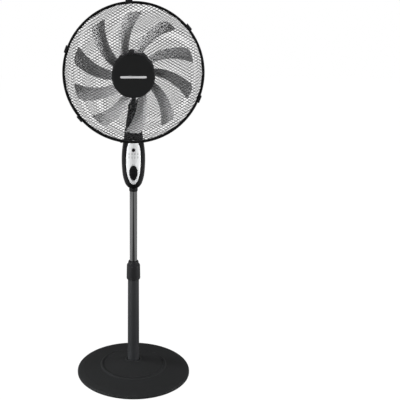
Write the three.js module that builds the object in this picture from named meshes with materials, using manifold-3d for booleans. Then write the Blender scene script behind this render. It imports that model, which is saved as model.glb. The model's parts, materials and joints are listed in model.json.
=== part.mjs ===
// Pedestal fan on a round base: telescopic mast, control housing, swinging and tilting guarded head.
// Millimetres, +Z up, the fan blows towards -Y. The origin is at the base's centre on the floor.
import * as THREE from 'three';
import { mergeVertices } from 'three/addons/utils/BufferGeometryUtils.js';
import Module from 'manifold-3d';

const wasm = await Module();
wasm.setup();

// ---- driving sizes ----
const GAP = 0.3;               // between neighbouring fixed pieces
const BASE_R = 192.5;          // base cover, outer radius
const BASE_RIM_Z = 12;         // top of the cover's rim
const BASE_TOP_Z = 50;         // top of the cover's cone, at the tube
const FOOT_R = 9;
const FOOT_H = 4;
const FOOT_COUNT = 5;
const WEIGHT_T = 5;            // steel ballast plate
const MAST_R = 12.2;           // chrome mast, outer radius
const MAST_WALL = 1.2;
const MAST_BOTTOM_Z = 252;
const MAST_TOP_Z = 704;
const TUBE_TOP_Z = 352;        // outer tube's upper end
const TUBE_WALL = 1.6;
const COLLAR_TOP_Z = 408;
const HOUSING_Z = 662;         // control housing, lower end
const HOUSING_H = 196;
const HOUSING_R = 37;          // its largest half width
const WALL = 2.2;              // moulded plastic wall
const PAD_Z = 719;             // centre of the four button pad
const PAD_A = 13;              // pad half width
const PAD_C = 25;              // pad half height
const TILT_Z = 935;            // tilt pin height
const TILT_PIN_R = 4;
const LUG_X = 8;               // half width of the head's tilt lug
const HEAD_Z = 1043;           // fan axis height
const GUARD_R = 215;           // guard's trim ring, outer radius
const RING_Y = -85;            // middle plane of the trim ring
const FRONT_DEPTH = 58;
const REAR_DEPTH = 52;
const GRILLE_T = 0.5;          // sheet of the same weight as the wire mesh
const BADGE_R = 64.5;
const MOTOR_R = 57;
const MOTOR_FRONT_Y = -27.6;
const MOTOR_BACK_Y = 100;
const SHAFT_R = 4;
const HUB_R = 65;
const HUB_FRONT_Y = -118;
const HUB_BACK_Y = -58;
const BLADE_COUNT = 10;
const BLADE_Y = -84;           // middle plane of the blades
const CLIP_ANGLES = [93.5, 40, -21, 220, 160];
const LOCK_ANGLE = 10;         // of the ring's joint, away from straight down

// ---- sizes tied to them ----
const TUBE_TOP_R = MAST_R + 6.4;
const TUBE_BOTTOM_R = TUBE_TOP_R + 1.4;
const RIM_R = GUARD_R - 6.5;           // where the two grilles meet the ring
const BLADE_R = GUARD_R - 31;
const WEIGHT_R = BASE_R - 22;
const RING_HALF = 8;                   // half the trim ring's depth
const RING_FRONT_Y = RING_Y - RING_HALF;
const RING_BACK_Y = RING_Y + RING_HALF;
const HOUSING_TOP_Z = HOUSING_Z + HOUSING_H;
const rad = (deg) => deg * Math.PI / 180;

// ---- builders ----
const ring = (points) => {
  let area = 0;
  points.forEach((p, i) => {
    const q = points[(i + 1) % points.length];
    area += p[0] * q[1] - q[0] * p[1];
  });
  return area < 0 ? [...points].reverse() : points;
};
const lathe = (points, segments) => {
  const outline = ring(points);
  const closed = outline[0][0] === 0 ? outline : [...outline, outline[0]];
  return new THREE.LatheGeometry(closed.map(([r, h]) => new THREE.Vector2(r, h)), segments);
};
// a three.js geometry as a solid that can be joined and cut
const solid = (geometry) => {
  geometry.deleteAttribute('normal');
  geometry.deleteAttribute('uv');
  const merged = mergeVertices(geometry, 1e-4);
  const index = merged.index.array;
  const kept = [];
  for (let i = 0; i < index.length; i += 3) {
    const [a, b, c] = index.slice(i, i + 3);
    if (a !== b && b !== c && c !== a) kept.push(a, b, c);
  }
  return new wasm.Manifold(new wasm.Mesh({
    numProp: 3,
    vertProperties: merged.attributes.position.array,
    triVerts: new Uint32Array(kept),
  }));
};
// turned pieces: about the upright Z axis, or lying along the fan's Y axis at height z
const turn = (points, segments = 24) => solid(lathe(points, segments).rotateX(Math.PI / 2));
const turnY = (points, segments = 24, z = 0) => solid(lathe(points, segments).translate(0, 0, z));
const rod = (r, length, segments) => new THREE.CylinderGeometry(r, r, length, segments);
const rodZ = (r, z0, z1, segments = 16, x = 0, y = 0) =>
  solid(rod(r, z1 - z0, segments).rotateX(Math.PI / 2).translate(x, y, (z0 + z1) / 2));
const rodY = (r, y0, y1, segments = 16, x = 0, z = 0) =>
  solid(rod(r, y1 - y0, segments).translate(x, (y0 + y1) / 2, z));
const rodX = (r, x0, x1, segments, y, z) =>
  solid(rod(r, x1 - x0, segments).rotateZ(Math.PI / 2).translate((x0 + x1) / 2, y, z));
const box = (x0, x1, y0, y1, z0, z1) =>
  solid(new THREE.BoxGeometry(x1 - x0, y1 - y0, z1 - z0)
    .translate((x0 + x1) / 2, (y0 + y1) / 2, (z0 + z1) / 2));
const sleeve = (rOut, rIn, z0, z1, segments = 24) =>
  turn([[rIn, z0], [rOut, z0], [rOut, z1], [rIn, z1]], segments);
const sleeveY = (rOut, rIn, y0, y1, segments = 24) =>
  turnY([[rIn, y0], [rOut, y0], [rOut, y1], [rIn, y1]], segments);

const group = new THREE.Group();
group.name = 'pedestal_fan';
let into = group;                      // the nested group that the next pieces join
const subgroup = (name, height = 0) => {
  into = new THREE.Group();
  into.name = name;
  into.position.z = height;
  group.add(into);
};
const put = (name, piece, colour, metalness = 0, roughness = 0.5) => {
  const made = piece.getMesh();
  const geometry = new THREE.BufferGeometry();
  geometry.setAttribute('position', new THREE.BufferAttribute(made.vertProperties, 3));
  geometry.setIndex(new THREE.BufferAttribute(made.triVerts, 1));
  geometry.computeVertexNormals();
  const material = new THREE.MeshStandardMaterial({ color: colour, metalness, roughness });
  const mesh = new THREE.Mesh(geometry, material);
  mesh.name = name;
  into.add(mesh);
  return mesh;
};
const BLACK = 0x191a1b;
const SATIN = 0x343537;
const STEEL = 0x8f9194;
const CHROME = 0xd9dbdd;
const SILVER = 0xc9cbcc;
const RUBBER = 0x101010;

// ---- stand: weighted base ----
subgroup('stand');
const coverHole = TUBE_BOTTOM_R + 0.6;
const SLOPE_R = BASE_R * 0.78;         // where the rim's slope eases
const BEAD_R = BASE_R * 0.556;         // crest of the raised bead
const VALLEY_R = BASE_R * 0.416;       // from here the cone climbs to the tube
const coverTop = [[BASE_R, 2], [BASE_R, BASE_RIM_Z - 2], [BASE_R - 2, BASE_RIM_Z + 1.2],
  [SLOPE_R, 22], [BEAD_R + 6.5, 28], [BEAD_R + 3, 31.2], [BEAD_R, 32], [BEAD_R - 6.5, 30.6],
  [VALLEY_R, 35.2], [coverHole + 5, BASE_TOP_Z - 1], [coverHole + 3, BASE_TOP_Z], [coverHole, BASE_TOP_Z]];
const coverUnder = [[coverHole, BASE_TOP_Z - 4], [coverHole + 5, BASE_TOP_Z - 5],
  [VALLEY_R, 32], [BEAD_R - 6, 27.2], [SLOPE_R, 18.8], [BASE_R - 3, BASE_RIM_Z - 3], [BASE_R - 3, 2]];
put('base_cover', turn([...coverTop, ...coverUnder], 32), BLACK, 0, 0.5);
const weightZ = FOOT_H + 0.1;
put('base_weight', sleeve(WEIGHT_R, 6.4, weightZ, weightZ + WEIGHT_T, 32), STEEL, 0.6, 0.6);
for (let i = 0; i < FOOT_COUNT; i += 1) {
  const a = rad(90 + 360 * i / FOOT_COUNT);
  const r = WEIGHT_R - FOOT_R - 6;
  put(`foot_pad_${i + 1}`, rodZ(FOOT_R, 0, FOOT_H, 16, r * Math.cos(a), r * Math.sin(a)), RUBBER, 0, 0.9);
}
const socketZ = weightZ + WEIGHT_T + GAP;
const plugR = TUBE_BOTTOM_R - TUBE_WALL - GAP;
const socket = turn([[0, socketZ], [38, socketZ], [38, socketZ + 5], [plugR, socketZ + 5],
  [plugR, 37], [0, 37]]).subtract(rodZ(6.2, 0, 33));
put('tube_socket', socket, STEEL, 0.6, 0.5);
const baseBolt = rodZ(11, 1.2, FOOT_H - 0.2, 6).add(rodZ(5.9, 2, 31, 16));
put('base_bolt', baseBolt, STEEL, 0.8, 0.4);

// ---- stand: outer tube, guide and collet ----
const tubeZ = socketZ + 5 + GAP;
put('lower_tube', turn([[TUBE_BOTTOM_R - TUBE_WALL, tubeZ], [TUBE_BOTTOM_R, tubeZ],
  [TUBE_TOP_R, TUBE_TOP_Z], [TUBE_TOP_R - TUBE_WALL, TUBE_TOP_Z]], 24), SATIN, 0.3, 0.5);
put('guide_bush', sleeve(TUBE_TOP_R - TUBE_WALL - GAP, MAST_R + 0.3, 300, TUBE_TOP_Z - 6), SILVER, 0, 0.5);
const collet = turn([[MAST_R + 0.2, TUBE_TOP_Z - 5.5], [TUBE_TOP_R - TUBE_WALL - GAP, TUBE_TOP_Z - 5.5],
  [TUBE_TOP_R - TUBE_WALL - GAP, TUBE_TOP_Z + 6], [MAST_R + 2.2, TUBE_TOP_Z + 27],
  [MAST_R + 0.2, TUBE_TOP_Z + 27]]).subtract(box(0, 40, -1, 1, 0, 500));
put('mast_collet', collet, BLACK, 0, 0.6);

// ---- twist collar ----
subgroup('collar');
const cr = TUBE_TOP_R + 4.4;
const collar = turn([[TUBE_TOP_R + 0.5, TUBE_TOP_Z - 8], [cr - 1.3, TUBE_TOP_Z - 8],
  [cr + 0.1, TUBE_TOP_Z - 5.5], [cr - 0.8, COLLAR_TOP_Z - 14], [cr - 2.2, COLLAR_TOP_Z - 11.5],
  [MAST_R + 5, COLLAR_TOP_Z - 9], [MAST_R + 4.6, COLLAR_TOP_Z - 1], [MAST_R + 3.8, COLLAR_TOP_Z],
  [MAST_R + 0.6, COLLAR_TOP_Z], [MAST_R + 0.6, TUBE_TOP_Z + 30],
  [MAST_R + 3.2, TUBE_TOP_Z + 27.5], [TUBE_TOP_R - TUBE_WALL + 0.4, TUBE_TOP_Z + 6.5],
  [TUBE_TOP_R + 0.5, TUBE_TOP_Z + 6]], 24);
put('height_collar', collar, BLACK, 0.1, 0.5);

// ---- mast ----
subgroup('mast');
put('mast_tube', sleeve(MAST_R, MAST_R - MAST_WALL, MAST_BOTTOM_Z, MAST_TOP_Z, 24), CHROME, 1, 0.12);
const endPlug = turn([[4.5, MAST_BOTTOM_Z - 6], [TUBE_TOP_R - TUBE_WALL - 0.5, MAST_BOTTOM_Z - 6],
  [TUBE_TOP_R - TUBE_WALL - 0.5, MAST_BOTTOM_Z - GAP], [MAST_R - MAST_WALL - GAP, MAST_BOTTOM_Z - GAP],
  [MAST_R - MAST_WALL - GAP, MAST_BOTTOM_Z + 12], [4.5, MAST_BOTTOM_Z + 12]], 24);
put('mast_end_plug', endPlug, BLACK, 0, 0.6);
put('mast_top_ring', turn([[MAST_R + 0.3, HOUSING_Z - 12], [MAST_R + 1.2, HOUSING_Z - 12],
  [MAST_R + 1.8, HOUSING_Z - 11], [MAST_R + 1.8, HOUSING_Z - GAP], [MAST_R + 0.3, HOUSING_Z - GAP]]),
BLACK, 0.1, 0.4);

// ---- control housing: two half shells around a turned form, silver fascia in front ----
const SHAPE = [[0, 0.43], [12, 0.7], [22, 0.805], [33, 0.89], [47, 0.957], [68, 1.005], [89, 1.025],
  [110, 1.015], [125, 0.985], [138, 0.944], [152, 0.883], [174, 0.8], [HOUSING_H, 0.74]];
const form = (offset, low = 0, high = 0, segments = 24) => {
  const last = SHAPE.length - 1;
  const pts = SHAPE.map(([z, f], i) => {
    const lift = i === 0 ? low : (i === last ? -high : 0);
    return [HOUSING_R * f + offset, HOUSING_Z + z + lift];
  });
  return turn([[0, pts[0][1]], ...pts, [0, pts[last][1]]], segments);
};
const formR = (z) => {
  for (let i = 1; i < SHAPE.length; i += 1) {
    const [z0, f0] = SHAPE[i - 1];
    const [z1, f1] = SHAPE[i];
    const t = z - HOUSING_Z;
    if (t <= z1) return HOUSING_R * (f0 + (f1 - f0) * (t - z0) / (z1 - z0));
  }
  return HOUSING_R * 0.74;
};
const FASCIA_Z = HOUSING_Z + 90;
const FASCIA_A = HOUSING_R * 0.623;
const FASCIA_C = 73;
const EGG_POWER = 2.7;                 // the fascia's upper half is fuller than an ellipse
const ovalY = (a, c, z, y0, y1, segments = 32) =>
  solid(rod(1, y1 - y0, segments).scale(a, 1, c).translate(0, (y0 + y1) / 2, z));
const eggY = (a, c, z, y0, y1, segments = 32) => {
  const outline = Array.from({ length: segments }, (_, k) => {
    const t = 2 * Math.PI * k / segments;
    const power = k < segments / 2 ? 2 / EGG_POWER : 1;
    const full = (v) => Math.sign(v) * Math.abs(v) ** power;
    return new THREE.Vector2(a * full(Math.cos(t)), c * full(Math.sin(t)));
  });
  const prism = new THREE.ExtrudeGeometry(new THREE.Shape(outline), { depth: y1 - y0, bevelEnabled: false });
  return solid(prism.rotateX(Math.PI / 2).translate(0, y1, z));
};
const sleeveR = MAST_R + 0.4;
const STEM_R = 12;                     // swivel stem
const SCREW_Z = HOUSING_TOP_Z - 18;
const SCREW_X = 20.5;
let shell = form(0).subtract(form(-WALL, 2.6, 2.6));
shell = shell.add(rodZ(sleeveR + 2.5, HOUSING_Z, HOUSING_Z + 36));
shell = shell.subtract(rodZ(sleeveR, 0, MAST_TOP_Z + 1)).subtract(rodZ(STEM_R + 0.6, 800, 900));
const bossLimit = form(-0.6);
const boss = (x) => rodY(3.6, -40, 40, 8, x, SCREW_Z).intersect(bossLimit);
let front = shell.add(boss(SCREW_X)).add(boss(-SCREW_X)).intersect(box(-60, 60, -60, -0.2, 600, 900));
let rear = shell.add(boss(SCREW_X)).add(boss(-SCREW_X)).intersect(box(-60, 60, 0.2, 60, 600, 900));
const screwFace = 15;                  // bottom of the rear counterbore
for (const x of [SCREW_X, -SCREW_X]) {
  front = front.subtract(rodY(1.7, -15, 5, 8, x, SCREW_Z));
  rear = rear.subtract(rodY(1.9, -5, 40, 8, x, SCREW_Z)).subtract(rodY(3, screwFace, 40, 8, x, SCREW_Z));
}
front = front.subtract(eggY(FASCIA_A + 0.4, FASCIA_C + 0.4, FASCIA_Z, -60, -5));
const GLAND_Z = HOUSING_Z + 36;
rear = rear.subtract(rodY(5.4, 14, 60, 12, 0, GLAND_Z));
put('control_front_shell', front, BLACK, 0, 0.25);
put('control_rear_shell', rear, BLACK, 0, 0.3);
[SCREW_X, -SCREW_X].forEach((x, i) => {
  const screw = rodY(2.7, screwFace + 0.1, screwFace + 2.2, 8, x, SCREW_Z)
    .add(rodY(1.5, -13, screwFace + 1, 8, x, SCREW_Z));
  put(`housing_screw_${i + 1}`, screw, STEEL, 0.8, 0.4);
});

// fascia, its lamps and window
const skin = (out, inn) => form(out).subtract(form(inn));
const IR_Z = HOUSING_Z + 132;
const LED_X = [-14, -4.7, 4.7, 14];
const BOARD_Y = -HOUSING_R + 13.6;     // front face of the circuit board
const SOCKET_Z = HOUSING_Z + 152;      // underside of the swivel's socket
const NUT_H = 6.6;                     // swivel nut, below the socket
let fascia = skin(0.6, -1.8).intersect(eggY(FASCIA_A, FASCIA_C, FASCIA_Z, -60, -5));
fascia = fascia.subtract(ovalY(PAD_A + 0.35, PAD_C + 0.35, PAD_Z, -60, -5, 24));
fascia = fascia.subtract(rodY(5.3, -60, -5, 20, 0, IR_Z));
const core = form(-0.6);
const POSTS = [[-11, 86], [11, 86], [-9, 139], [9, 139]];
for (const [x, up] of POSTS) {
  fascia = fascia.add(rodY(2, -60, BOARD_Y - GAP, 8, x, HOUSING_Z + up).intersect(core));
}
['led_strip_upper', 'led_strip_lower'].forEach((name, i) => {
  const z = HOUSING_Z + 118 - 11 * i;
  let strip = box(-16.5, 16.5, BOARD_Y - 5, BOARD_Y - 2.5, z - 1.8, z + 1.8);
  for (const x of LED_X) {
    fascia = fascia.subtract(rodY(1.3, -60, -15, 8, x, z));
    strip = strip.add(rodY(0.95, -60, BOARD_Y - 3, 8, x, z).intersect(form(0.7)));
  }
  put(name, strip, 0xb9c4c8, 0, 0.3);
});
put('control_fascia', fascia, SILVER, 0.5, 0.35);
put('ir_window', skin(0.9, -2).intersect(rodY(5, -60, -5, 20, 0, IR_Z)), BLACK, 0, 0.1);
const boardTop = SOCKET_Z - 2.4 - NUT_H - 2;
const board = box(-14.5, 14.5, BOARD_Y, BOARD_Y + 1.6, HOUSING_Z + 42, boardTop);
put('circuit_board', board, 0x2c5b3a, 0, 0.5);
const cap = skin(1.1, -2.4);
const pad = ovalY(PAD_A, PAD_C, PAD_Z, -60, -5, 24);
const arcR = 33;
const arcZ = PAD_Z - 24;
const lowCut = PAD_Z - 9.5;
const under = pad.intersect(rodY(arcR - 0.25, -60, -5, 40, 0, arcZ));
const keys = {
  power: [pad.subtract(rodY(arcR + 0.25, -60, -5, 40, 0, arcZ)), 0, PAD_Z + 14.5],
  timer: [under.intersect(box(-20, -0.25, -60, -5, lowCut + 0.25, 800)), -6.5, PAD_Z],
  swing: [under.intersect(box(0.25, 20, -60, -5, lowCut + 0.25, 800)), 6.5, PAD_Z],
  speed: [under.intersect(box(-20, 20, -60, -5, 600, lowCut - 0.25)), 0, PAD_Z - 12],
};
for (const [name, [prism, x, z]] of Object.entries(keys)) {
  const stem = rodY(1.6, -60, BOARD_Y - 1.2, 8, x, z).intersect(core);
  put(`button_${name}`, prism.intersect(cap).add(stem), BLACK, 0, 0.3);
}

// cable gland at the back, swing motor and swivel socket inside
const glandFace = formR(GLAND_Z + 7) + 0.5;
const glandIn = formR(GLAND_Z - 7) - WALL - 0.5;
const gland = turnY([[3.2, glandIn - 2.5], [7, glandIn - 2.5], [7, glandIn], [5, glandIn], [5, glandFace],
  [7.2, glandFace], [7.2, glandFace + 2.5], [5.2, glandFace + 3.5], [4.4, glandFace + 13],
  [3.2, glandFace + 13]], 12, GLAND_Z);
put('cable_gland', gland, RUBBER, 0, 0.8);
const swingZ = HOUSING_Z + 106;
put('swing_motor', rodZ(HOUSING_R * 0.48, swingZ, swingZ + 20, 20, 0, 9)
  .add(rodZ(2.5, swingZ + 19, swingZ + 29, 12, 0, 9)), STEEL, 0.7, 0.4);
put('swivel_socket', turn([[STEM_R + 0.2, SOCKET_Z], [formR(SOCKET_Z + 4) - WALL - 0.5, SOCKET_Z],
  [formR(SOCKET_Z + 4) - WALL - 0.5, SOCKET_Z + 4], [STEM_R + 3.6, SOCKET_Z + 4],
  [STEM_R + 3.6, HOUSING_TOP_Z - 3], [STEM_R + 0.2, HOUSING_TOP_Z - 3]]), SATIN, 0.2, 0.5);

// ---- swivel: neck with a clevis, stem nut and tilt pin ----
subgroup('swivel');
const neckZ = HOUSING_TOP_Z + 0.4;
const NECK_R = 17;
const NECK_FOOT = HOUSING_R * 0.67;
let neck = turn([[0, SOCKET_Z - 14], [7, SOCKET_Z - 14], [7, SOCKET_Z - 2], [STEM_R, SOCKET_Z - 2],
  [STEM_R, neckZ], [NECK_FOOT, neckZ], [NECK_FOOT, neckZ + 12], [NECK_R, TILT_Z - 17],
  [NECK_R, TILT_Z - 14], [0, TILT_Z - 14]], 20);
const ears = box(-NECK_R, NECK_R, -14, 14, TILT_Z - 24, TILT_Z).add(rodX(14, -NECK_R, NECK_R, 16, 0, TILT_Z));
neck = neck.add(ears).subtract(box(-LUG_X - 0.4, LUG_X + 0.4, -40, 40, TILT_Z - 13.6, TILT_Z + 40))
  .subtract(rodX(TILT_PIN_R + 0.05, -40, 40, 20, 0, TILT_Z));
put('swivel_neck', neck, BLACK, 0, 0.35);
const swivelNut = rodZ(16, SOCKET_Z - 2.4 - NUT_H, SOCKET_Z - 2.4, 6).subtract(rodZ(7.5, 700, 900, 20));
put('swivel_nut', swivelNut, STEEL, 0.8, 0.4);
const pinHead = (x0, x1) => rodX(6.5, x0, x1, 20, 0, TILT_Z);
put('tilt_pin', rodX(TILT_PIN_R, -NECK_R - 1, NECK_R + 1, 20, 0, TILT_Z)
  .add(pinHead(-NECK_R - 2.6, -NECK_R - GAP)).add(pinHead(NECK_R + GAP, NECK_R + 2.6)), STEEL, 0.8, 0.4);

// ---- head: motor, from here on with the fan axis at height 0 ----
subgroup('head', HEAD_Z);
const pinZ = TILT_Z - HEAD_Z;
const cutFace = 0.2;                   // split plane of the motor's two covers
const MOTOR_WALL = 2.6;
const LUG_SCREWS = [-17, -8];          // where along Y the lug is screwed to the cover, from inside
let cover = turnY([[0, MOTOR_FRONT_Y - 14], [20, MOTOR_FRONT_Y - 14], [20, MOTOR_FRONT_Y],
  [MOTOR_R - 5, MOTOR_FRONT_Y], [MOTOR_R, MOTOR_FRONT_Y + 5], [MOTOR_R, -cutFace],
  [MOTOR_R - MOTOR_WALL, -cutFace], [MOTOR_R - MOTOR_WALL, MOTOR_FRONT_Y + 3], [0, MOTOR_FRONT_Y + 3]], 24);
cover = cover.subtract(rodY(5, -60, 0, 20)).subtract(rodY(9, MOTOR_FRONT_Y - 20, MOTOR_FRONT_Y - 3, 24));
let lug = box(-LUG_X, LUG_X, MOTOR_FRONT_Y + 5, -3, -MOTOR_R - 30, -MOTOR_R + 4)
  .subtract(rodY(MOTOR_R + GAP, -60, 60, 24));
lug = lug.add(box(-LUG_X, LUG_X, -11.5, 11.5, pinZ, -MOTOR_R - 12))
  .add(rodX(11.5, -LUG_X, LUG_X, 16, 0, pinZ));
lug = lug.subtract(rodX(TILT_PIN_R + 0.12, -40, 40, 20, 0, pinZ));
const screwSeat = -MOTOR_R + MOTOR_WALL + 0.8;
LUG_SCREWS.forEach((y, i) => {
  cover = cover.subtract(rodZ(1.8, -MOTOR_R - 5, -MOTOR_R + 5, 8, 0, y));
  lug = lug.subtract(rodZ(1.6, -MOTOR_R - 11, -MOTOR_R + 5, 8, 0, y));
  const screw = rodZ(3.2, screwSeat, screwSeat + 2, 8, 0, y);
  put(`lug_screw_${i + 1}`, screw.add(rodZ(1.5, -MOTOR_R - 10, screwSeat + 1, 8, 0, y)), STEEL, 0.8, 0.4);
});
put('motor_front_cover', cover, BLACK, 0.1, 0.4);
put('tilt_lug', lug, BLACK, 0.1, 0.4);
// the rear bell's form, drawn in by a wall and opened past the split plane for the inside
const bell = (wall, start) => turnY([[0, start], [MOTOR_R - wall, start], [MOTOR_R - wall, MOTOR_BACK_Y - 30],
  [MOTOR_R - 1.5 - wall, MOTOR_BACK_Y - 20], [MOTOR_R - 6 - wall, MOTOR_BACK_Y - 10 - wall * 0.5],
  [MOTOR_R - 17 - wall, MOTOR_BACK_Y - 2.6 - wall * 0.8],
  [MOTOR_R - 30 - wall, MOTOR_BACK_Y - wall], [0, MOTOR_BACK_Y - wall]], 24);
let shellY = bell(0, cutFace).subtract(bell(MOTOR_WALL, cutFace - 5));
shellY = shellY.add(rodY(12, 80, MOTOR_BACK_Y - 2, 24)).subtract(rodY(9, 70, 92, 24));
put('motor_rear_shell', shellY, BLACK, 0, 0.4);
put('motor_stator', sleeveY(MOTOR_R - 3.4, 26, 18, 48), STEEL, 0.6, 0.5);
put('front_bearing', sleeveY(8.9, SHAFT_R + 0.1, MOTOR_FRONT_Y - 12, MOTOR_FRONT_Y - 4, 24), CHROME, 1, 0.3);
put('rear_bearing', sleeveY(8.9, SHAFT_R + 0.1, 82, 90, 24), CHROME, 1, 0.3);

// ---- head: guard ----
const LARGE = 28;                      // sides of the guard's big circles
const bulge = (r) => 1 - (r / RIM_R) ** 4;
const frontY = (r) => RING_Y - FRONT_DEPTH * bulge(r);
const rearY = (r) => RING_Y + 5 + REAR_DEPTH * bulge(r);
const DOME_STEPS = [0.42, 0.564, 0.708, 0.852, 0.996];
const domeSheet = (inner, face, thickness) => {
  const radii = [inner, ...DOME_STEPS.map((t) => t * RIM_R)];
  const outside = radii.map((r) => [r, face(r)]);
  const inside = radii.map((r) => [r, face(r) + thickness]).reverse();
  return turnY([...outside, ...inside], LARGE);
};
put('front_grille', domeSheet(0, frontY, GRILLE_T), 0x8f9193, 0.6, 0.4);
put('rear_grille', domeSheet(21, rearY, -GRILLE_T), 0x8f9193, 0.6, 0.4);
put('grille_nut', sleeveY(30, 20.3, MOTOR_FRONT_Y - 10, MOTOR_FRONT_Y - 1.9, 20), BLACK, 0, 0.5);
const hoopIn = RIM_R - 0.4;
const HOOP_T = 3.4;
const hoopNear = 1.3;                  // from the ring's middle plane to a hoop's near and far face
const hoopFar = 5.3;
const hoop = (y0, y1) => sleeveY(hoopIn + HOOP_T, hoopIn, y0, y1, LARGE);
put('front_hoop', hoop(RING_Y - hoopFar, RING_Y - hoopNear), CHROME, 0.9, 0.3);
put('rear_hoop', hoop(RING_Y + hoopNear, RING_Y + hoopFar), CHROME, 0.9, 0.3);
const RING_WALL = 2.4;
// a radial pin of the trim ring's joint, at the bottom of the ring
const lockPin = (r, from, to, segments) => solid(rod(r, to - from, segments)
  .translate(0, (from + to) / 2, 0).rotateX(-Math.PI / 2).rotateY(rad(LOCK_ANGLE)).translate(0, RING_Y, 0));
const ringIn = GUARD_R - 2.6;
let trim = turnY([[RIM_R, RING_FRONT_Y], [GUARD_R - 3, RING_FRONT_Y], [GUARD_R, RING_FRONT_Y + 3],
  [GUARD_R, RING_BACK_Y - 3], [GUARD_R - 3, RING_BACK_Y], [RIM_R, RING_BACK_Y],
  [RIM_R, RING_BACK_Y - RING_WALL], [ringIn, RING_BACK_Y - RING_WALL],
  [ringIn, RING_FRONT_Y + RING_WALL], [RIM_R, RING_FRONT_Y + RING_WALL]], LARGE);
trim = trim.subtract(lockPin(2, RIM_R, GUARD_R + 5, 12));
put('guard_ring', trim, BLACK, 0.1, 0.3);
const lockHead = lockPin(3.5, GUARD_R + GAP, GUARD_R + 2, 16);
put('lock_screw', lockHead.add(lockPin(1.7, GUARD_R - 3.3, GUARD_R + 1, 12)), STEEL, 0.8, 0.4);
const badgeY = RING_Y - FRONT_DEPTH - 0.3;
put('badge_disc', turnY([[0, badgeY - 3.6], [BADGE_R - 2, badgeY - 3.2], [BADGE_R, badgeY - 1.6],
  [BADGE_R, badgeY], [0, badgeY]], 28), BLACK, 0.1, 0.35);
const CLIP_HALF = 10.5;                // half a clip's width
CLIP_ANGLES.forEach((angle, i) => {
  const strip = box(GUARD_R + 0.4, GUARD_R + 3, RING_FRONT_Y - 3, RING_BACK_Y + 2, -CLIP_HALF, CLIP_HALF);
  const hook = box(RIM_R + 1.5, GUARD_R + 3, RING_FRONT_Y - 3, RING_FRONT_Y - 0.5, -CLIP_HALF, CLIP_HALF);
  const barrel = rodZ(2.1, -CLIP_HALF, CLIP_HALF, 12, GUARD_R + 2.5, RING_BACK_Y + 2);
  const clip = strip.add(hook).add(barrel);
  put(`guard_clip_${i + 1}`, clip, BLACK, 0, 0.4).rotation.y = rad(-angle);
});

// ---- spinning set: rotor, shaft, ten-blade fan and its nut ----
subgroup('spin', HEAD_Z);
const bladeSolid = (turnDeg) => {
  const rows = 3;
  const cols = 2;
  const at = (i, j, side) => {
    const u = i / rows;
    const r = (HUB_R - 2) + (BLADE_R - HUB_R + 2) * u;
    const v = j / cols - 0.5;
    const sweep = 4.9 - 23.5 * (r - HUB_R) / (BLADE_R - HUB_R);
    const width = 16.5 + 5 * (1 - u) ** 2;
    const a = rad(sweep + width * v + turnDeg);
    const pitch = rad(40 - 13 * u);
    const camber = 3 * (1 - 4 * v * v);
    const y = BLADE_Y - v * rad(width) * r * Math.tan(pitch) + camber + side * (0.7 + 0.6 * (1 - 4 * v * v));
    return [r * Math.cos(a), y, r * Math.sin(a)];
  };
  const verts = [];
  const index = {};
  for (const side of [-1, 1]) {
    for (let i = 0; i <= rows; i += 1) {
      for (let j = 0; j <= cols; j += 1) {
        index[`${i},${j},${side}`] = verts.length / 3;
        verts.push(...at(i, j, side));
      }
    }
  }
  const tris = [];
  const quad = (a, b, c, d) => tris.push(a, b, c, a, c, d);
  const k = (i, j, side) => index[`${i},${j},${side}`];
  for (let i = 0; i < rows; i += 1) {
    for (let j = 0; j < cols; j += 1) {
      quad(k(i, j, -1), k(i + 1, j, -1), k(i + 1, j + 1, -1), k(i, j + 1, -1));
      quad(k(i, j, 1), k(i, j + 1, 1), k(i + 1, j + 1, 1), k(i + 1, j, 1));
    }
    quad(k(i, 0, 1), k(i + 1, 0, 1), k(i + 1, 0, -1), k(i, 0, -1));
    quad(k(i, cols, -1), k(i + 1, cols, -1), k(i + 1, cols, 1), k(i, cols, 1));
  }
  for (let j = 0; j < cols; j += 1) {
    quad(k(0, j, -1), k(0, j + 1, -1), k(0, j + 1, 1), k(0, j, 1));
    quad(k(rows, j, 1), k(rows, j + 1, 1), k(rows, j + 1, -1), k(rows, j, -1));
  }
  const geometry = new THREE.BufferGeometry();
  geometry.setAttribute('position', new THREE.Float32BufferAttribute(verts, 3));
  geometry.setIndex(tris);
  return solid(geometry);
};
const HUB_T = 2.5;
let fan = turnY([[0, HUB_FRONT_Y], [HUB_R - 8, HUB_FRONT_Y], [HUB_R - 2, HUB_FRONT_Y + 3],
  [HUB_R, HUB_FRONT_Y + 10], [HUB_R, HUB_BACK_Y], [HUB_R - HUB_T, HUB_BACK_Y],
  [HUB_R - HUB_T, HUB_FRONT_Y + 11], [HUB_R - 9, HUB_FRONT_Y + HUB_T + 0.5],
  [12, HUB_FRONT_Y + HUB_T + 0.5], [11, HUB_BACK_Y + 6],
  [0, HUB_BACK_Y + 6]], 25);
fan = fan.subtract(rodY(SHAFT_R + 0.05, -200, 0, 20));
for (let i = 0; i < BLADE_COUNT; i += 1) fan = fan.add(bladeSolid(360 * i / BLADE_COUNT));
put('fan_blade', fan, 0x6e7072, 0.1, 0.35);
const bladeNut = turnY([[0, HUB_FRONT_Y - 12], [13, HUB_FRONT_Y - 12], [17, HUB_FRONT_Y - 8],
  [17, HUB_FRONT_Y - GAP], [SHAFT_R + 0.1, HUB_FRONT_Y - GAP], [SHAFT_R + 0.1, HUB_FRONT_Y - 9],
  [0, HUB_FRONT_Y - 9]], 16);
put('blade_nut', bladeNut, BLACK, 0, 0.4);
put('motor_shaft', rodY(SHAFT_R, HUB_FRONT_Y - 8, 90.5, 24), CHROME, 1, 0.3);
put('motor_rotor', sleeveY(25.2, SHAFT_R + 0.05, 18, 48), STEEL, 0.7, 0.4);

export default group;
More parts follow.
